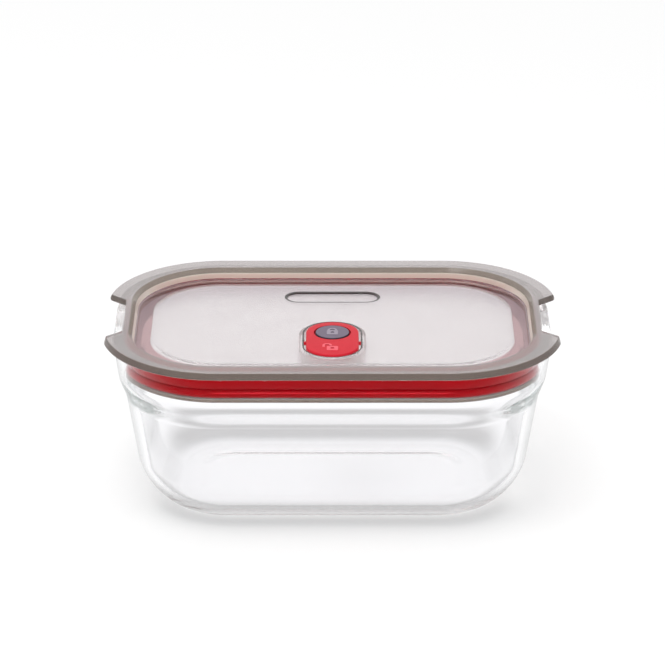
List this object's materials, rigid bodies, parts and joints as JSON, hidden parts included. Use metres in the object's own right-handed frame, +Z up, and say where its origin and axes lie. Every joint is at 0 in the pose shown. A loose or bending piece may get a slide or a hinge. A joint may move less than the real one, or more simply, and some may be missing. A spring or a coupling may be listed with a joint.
{
  "type": "glass food storage container",
  "caption": "Rectangular round-cornered glass food box with a lift-off smoky lid, red silicone seal and a tilting steam vent.",
  "frame": {"origin": "middle of the base, on the surface it stands on", "axes": "+X along the long side, -Y to the front where the vent's finger end points, +Z up"},
  "size_m": [0.21, 0.141, 0.085],
  "materials": {
    "clear_glass": "clear pressed glass, polished",
    "smoky_plastic": "translucent smoky moulding, gloss rim, frosted panel",
    "red_silicone": "satin silicone",
    "red_plastic": "satin moulded plastic",
    "grey_silicone": "matt silicone"
  },
  "bodies": {
    "container": {"glass_container": "clear_glass"},
    "lid": {"lid": "smoky_plastic", "seal_ring": "red_silicone"},
    "vent": {"vent_rocker": "red_plastic", "vent_plug": "grey_silicone"}
  },
  "joints": [
    {"name": "lid_lift", "type": "slide", "parent": "container", "child": "lid", "axis": [0, 0, 1], "range_m": [0, 0.06]},
    {"name": "vent_tilt", "type": "hinge", "parent": "lid", "child": "vent", "pos_m": [0, -0.0195, 0.0789], "axis": [1, 0, 0], "range_deg": [0, 10]}
  ]
}
